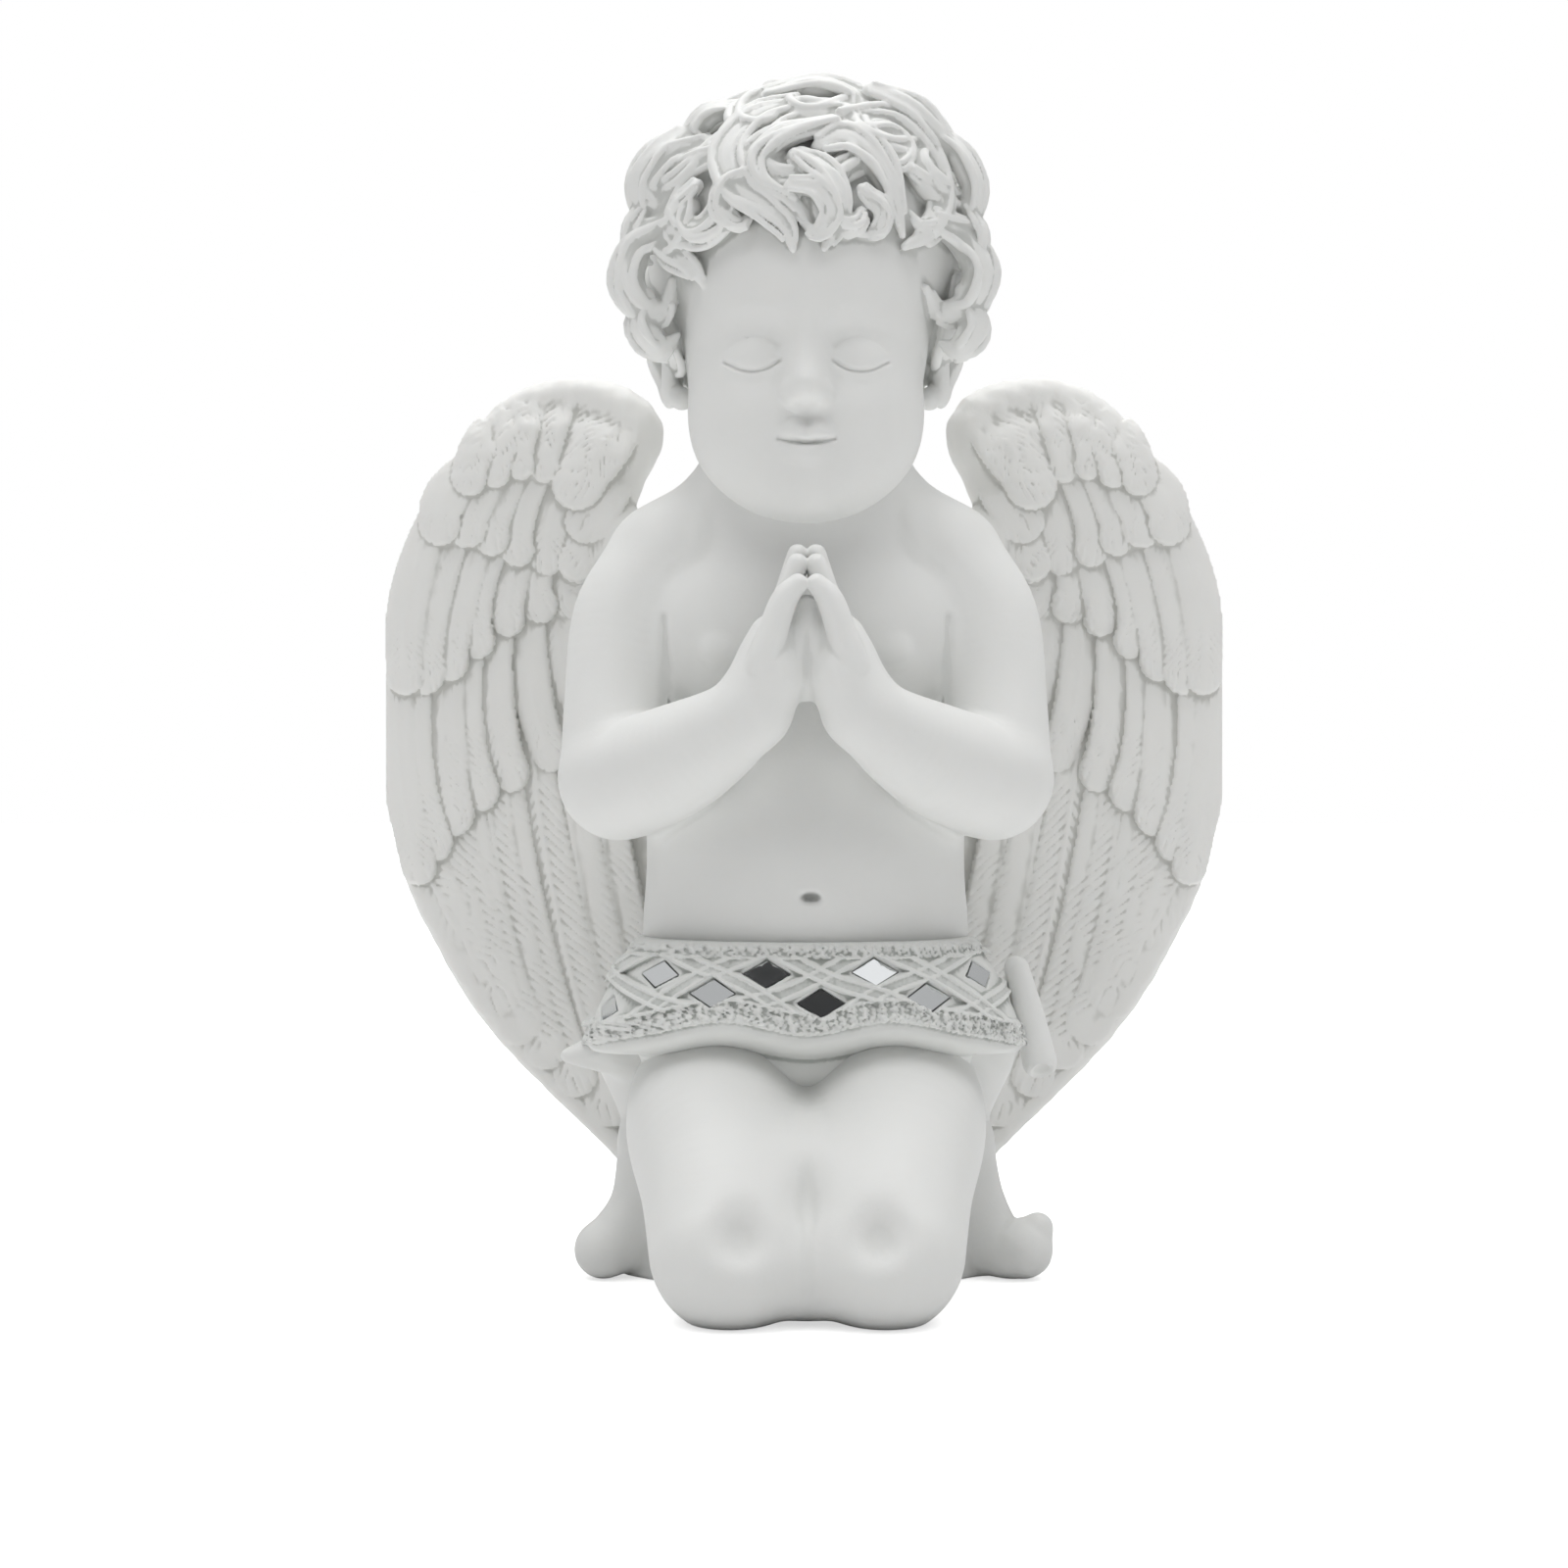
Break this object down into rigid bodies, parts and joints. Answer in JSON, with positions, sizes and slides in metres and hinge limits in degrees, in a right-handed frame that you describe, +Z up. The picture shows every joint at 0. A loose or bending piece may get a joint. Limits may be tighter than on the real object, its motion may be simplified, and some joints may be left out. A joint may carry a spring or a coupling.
{
  "type": "praying cherub figurine",
  "caption": "Kneeling winged cherub with praying hands, cast in white resin, with mirror chips set in its band.",
  "frame": {"origin": "on the table, under the middle of the figurine's box", "axes": "+Z up, the cherub looks towards -Y, +X is on the viewer's right"},
  "size_m": [0.17, 0.109, 0.2294],
  "materials": {
    "resin": "matte white cast resin with a faint chalky bloom",
    "mirror": "silvered glass chip"
  },
  "bodies": {
    "root": {"angel": "resin", "mirror_chip_01": "mirror", "mirror_chip_02": "mirror", "mirror_chip_03": "mirror", "mirror_chip_04": "mirror", "mirror_chip_05": "mirror", "mirror_chip_06": "mirror", "mirror_chip_07": "mirror", "mirror_chip_08": "mirror"}
  },
  "joints": []
}
